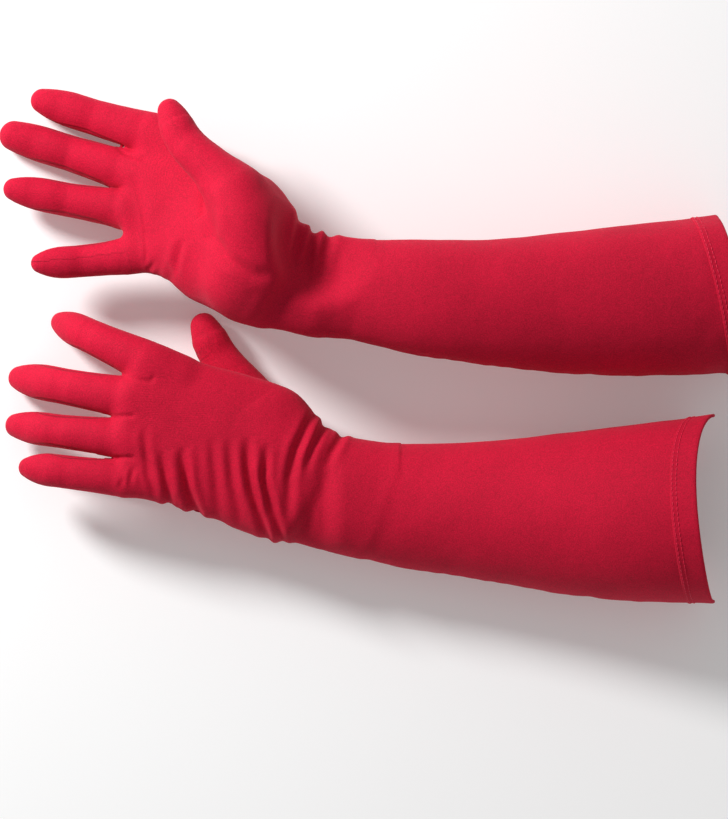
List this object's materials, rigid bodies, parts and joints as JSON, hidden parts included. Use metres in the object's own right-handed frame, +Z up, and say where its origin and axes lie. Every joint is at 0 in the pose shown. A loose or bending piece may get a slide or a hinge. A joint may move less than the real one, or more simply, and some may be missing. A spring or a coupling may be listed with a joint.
{
  "type": "opera gloves",
  "caption": "Elbow-length stretch-knit gloves for evening wear or costume, a left and a right one, hollow, with a turned hem at each open cuff and stalls that bend.",
  "frame": {"origin": "under the middle of the pair, on the surface that it lies on", "axes": "+Z up, fingers towards -X, open cuffs towards +X, thumbs towards +Y; the right glove is on the +Y side, palm up, and the left glove on the -Y side, back up"},
  "size_m": [0.4218, 0.289, 0.0904],
  "materials": {
    "knit": "matt stretch knit with a fine grain and a faint sheen at grazing angles",
    "hem": "the same knit, turned in and sewn, a double layer",
    "seam": "overlocked seam allowance, matching thread"
  },
  "bodies": {
    "left_arm": {"left_sleeve": "knit", "left_cuff_hem": "hem", "left_sleeve_seam": "seam", "left_wrist_fold": "knit"},
    "left_hand": {"left_palm_panel": "knit", "left_back_panel": "knit", "left_fourchette_index_middle": "knit", "left_fourchette_middle_ring": "knit", "left_fourchette_ring_little": "knit", "left_hand_seam": "seam", "left_thumb_root_fold": "knit", "left_index_root_fold": "knit", "left_middle_root_fold": "knit", "left_ring_root_fold": "knit", "left_little_root_fold": "knit"},
    "left_thumb": {"left_thumb_base": "knit", "left_thumb_knuckle_fold": "knit"},
    "left_thumb_end": {"left_thumb_tip": "knit"},
    "left_index": {"left_index_base": "knit", "left_index_knuckle_fold": "knit"},
    "left_index_end": {"left_index_tip": "knit"},
    "left_middle": {"left_middle_base": "knit", "left_middle_knuckle_fold": "knit"},
    "left_middle_end": {"left_middle_tip": "knit"},
    "left_ring": {"left_ring_base": "knit", "left_ring_knuckle_fold": "knit"},
    "left_ring_end": {"left_ring_tip": "knit"},
    "left_little": {"left_little_base": "knit", "left_little_knuckle_fold": "knit"},
    "left_little_end": {"left_little_tip": "knit"},
    "right_arm": {"right_sleeve": "knit", "right_cuff_hem": "hem", "right_sleeve_seam": "seam", "right_wrist_fold": "knit"},
    "right_hand": {"right_palm_panel": "knit", "right_back_panel": "knit", "right_fourchette_index_middle": "knit", "right_fourchette_middle_ring": "knit", "right_fourchette_ring_little": "knit", "right_hand_seam": "seam", "right_thumb_root_fold": "knit", "right_index_root_fold": "knit", "right_middle_root_fold": "knit", "right_ring_root_fold": "knit", "right_little_root_fold": "knit"},
    "right_thumb": {"right_thumb_base": "knit", "right_thumb_knuckle_fold": "knit"},
    "right_thumb_end": {"right_thumb_tip": "knit"},
    "right_index": {"right_index_base": "knit", "right_index_knuckle_fold": "knit"},
    "right_index_end": {"right_index_tip": "knit"},
    "right_middle": {"right_middle_base": "knit", "right_middle_knuckle_fold": "knit"},
    "right_middle_end": {"right_middle_tip": "knit"},
    "right_ring": {"right_ring_base": "knit", "right_ring_knuckle_fold": "knit"},
    "right_ring_end": {"right_ring_tip": "knit"},
    "right_little": {"right_little_base": "knit", "right_little_knuckle_fold": "knit"},
    "right_little_end": {"right_little_tip": "knit"}
  },
  "joints": [
    {"name": "left_wrist_bend", "type": "hinge", "parent": "left_arm", "child": "left_hand", "pos_m": [-0.03074, -0.08068, 0.0332], "axis": [-0.4289, -0.9033, 0], "range_deg": [-45, 45], "deforming": ["left_wrist_fold"]},
    {"name": "left_thumb_swing", "type": "hinge", "parent": "left_hand", "child": "left_thumb", "pos_m": [-0.06807, -0.03196, 0.01196], "axis": [-0.063, 0.0299, -0.9976], "range_deg": [-6, 35], "deforming": ["left_thumb_root_fold"]},
    {"name": "left_thumb_bend", "type": "hinge", "parent": "left_thumb", "child": "left_thumb_end", "pos_m": [-0.08936, -0.00678, 0.0106], "axis": [0.063, -0.0299, 0.9976], "range_deg": [-8, 60], "deforming": ["left_thumb_knuckle_fold"]},
    {"name": "left_index_root_bend", "type": "hinge", "parent": "left_hand", "child": "left_index", "pos_m": [-0.14019, -0.00434, 0.0379], "axis": [-0.2322, -0.9726, -0.0145], "range_deg": [-27, 50], "deforming": ["left_index_root_fold"]},
    {"name": "left_index_knuckle_bend", "type": "hinge", "parent": "left_index", "child": "left_index_end", "pos_m": [-0.16011, 0.0047, 0.03079], "axis": [-0.2322, -0.9726, -0.0145], "range_deg": [-31, 51], "deforming": ["left_index_knuckle_fold"]},
    {"name": "left_middle_root_bend", "type": "hinge", "parent": "left_hand", "child": "left_middle", "pos_m": [-0.15197, -0.02737, 0.03854], "axis": [-0.2322, -0.9726, -0.0145], "range_deg": [-24, 53], "deforming": ["left_middle_root_fold"]},
    {"name": "left_middle_knuckle_bend", "type": "hinge", "parent": "left_middle", "child": "left_middle_end", "pos_m": [-0.17478, -0.0233, 0.03227], "axis": [-0.2322, -0.9726, -0.0145], "range_deg": [-25, 57], "deforming": ["left_middle_knuckle_fold"]},
    {"name": "left_ring_root_bend", "type": "hinge", "parent": "left_hand", "child": "left_ring", "pos_m": [-0.15561, -0.05087, 0.03846], "axis": [-0.1639, -0.9863, -0.0192], "range_deg": [-22, 55], "deforming": ["left_ring_root_fold"]},
    {"name": "left_ring_knuckle_bend", "type": "hinge", "parent": "left_ring", "child": "left_ring_end", "pos_m": [-0.17785, -0.04824, 0.03321], "axis": [-0.1639, -0.9863, -0.0192], "range_deg": [-22, 60], "deforming": ["left_ring_knuckle_fold"]},
    {"name": "left_little_root_bend", "type": "hinge", "parent": "left_hand", "child": "left_little", "pos_m": [-0.15399, -0.07325, 0.03933], "axis": [-0.1295, -0.9913, -0.0216], "range_deg": [-14, 63], "deforming": ["left_little_root_fold"]},
    {"name": "left_little_knuckle_bend", "type": "hinge", "parent": "left_little", "child": "left_little_end", "pos_m": [-0.17281, -0.07125, 0.0376], "axis": [-0.1295, -0.9913, -0.0216], "range_deg": [-13, 69], "deforming": ["left_little_knuckle_fold"]},
    {"name": "right_lift", "type": "slide", "parent": "left_arm", "child": "right_arm", "axis": [0, 0, 1], "range_m": [0, 0.2]},
    {"name": "right_wrist_bend", "type": "hinge", "parent": "right_arm", "child": "right_hand", "pos_m": [-0.04424, 0.03692, 0.0702], "axis": [0.527, 0.8499, 0], "range_deg": [-25, 60], "deforming": ["right_wrist_fold"]},
    {"name": "right_thumb_swing", "type": "hinge", "parent": "right_hand", "child": "right_thumb", "pos_m": [-0.08416, 0.09133, 0.07189], "axis": [0.3457, -0.2143, -0.9135], "range_deg": [-6, 35], "deforming": ["right_thumb_root_fold"]},
    {"name": "right_thumb_bend", "type": "hinge", "parent": "right_thumb", "child": "right_thumb_end", "pos_m": [-0.1076, 0.11255, 0.06244], "axis": [-0.3457, 0.2143, 0.9135], "range_deg": [-8, 60], "deforming": ["right_thumb_knuckle_fold"]},
    {"name": "right_index_root_bend", "type": "hinge", "parent": "right_hand", "child": "right_index", "pos_m": [-0.13737, 0.1213, 0.01722], "axis": [0.2769, 0.9535, -0.1189], "range_deg": [-14, 63], "deforming": ["right_index_root_fold"]},
    {"name": "right_index_knuckle_bend", "type": "hinge", "parent": "right_index", "child": "right_index_end", "pos_m": [-0.15869, 0.12782, 0.01156], "axis": [0.2769, 0.9535, -0.1189], "range_deg": [-9, 73], "deforming": ["right_index_knuckle_fold"]},
    {"name": "right_middle_root_bend", "type": "hinge", "parent": "right_hand", "child": "right_middle", "pos_m": [-0.14949, 0.10086, 0.01743], "axis": [0.2769, 0.9535, -0.1189], "range_deg": [-14, 63], "deforming": ["right_middle_root_fold"]},
    {"name": "right_middle_knuckle_bend", "type": "hinge", "parent": "right_middle", "child": "right_middle_end", "pos_m": [-0.17177, 0.10755, 0.01154], "axis": [0.2769, 0.9535, -0.1189], "range_deg": [-8, 74], "deforming": ["right_middle_knuckle_fold"]},
    {"name": "right_ring_root_bend", "type": "hinge", "parent": "right_hand", "child": "right_ring", "pos_m": [-0.15149, 0.0779, 0.02251], "axis": [0.2769, 0.9535, -0.1189], "range_deg": [-16, 61], "deforming": ["right_ring_root_fold"]},
    {"name": "right_ring_knuckle_bend", "type": "hinge", "parent": "right_ring", "child": "right_ring_end", "pos_m": [-0.17374, 0.08158, 0.01803], "axis": [0.2769, 0.9535, -0.1189], "range_deg": [-12, 70], "deforming": ["right_ring_knuckle_fold"]},
    {"name": "right_little_root_bend", "type": "hinge", "parent": "right_hand", "child": "right_little", "pos_m": [-0.14603, 0.04902, 0.03112], "axis": [0.0681, 0.9767, -0.2034], "range_deg": [-15, 62], "deforming": ["right_little_root_fold"]},
    {"name": "right_little_knuckle_bend", "type": "hinge", "parent": "right_little", "child": "right_little_end", "pos_m": [-0.16468, 0.04688, 0.02818], "axis": [0.0681, 0.9767, -0.2034], "range_deg": [-16, 66], "deforming": ["right_little_knuckle_fold"]}
  ]
}
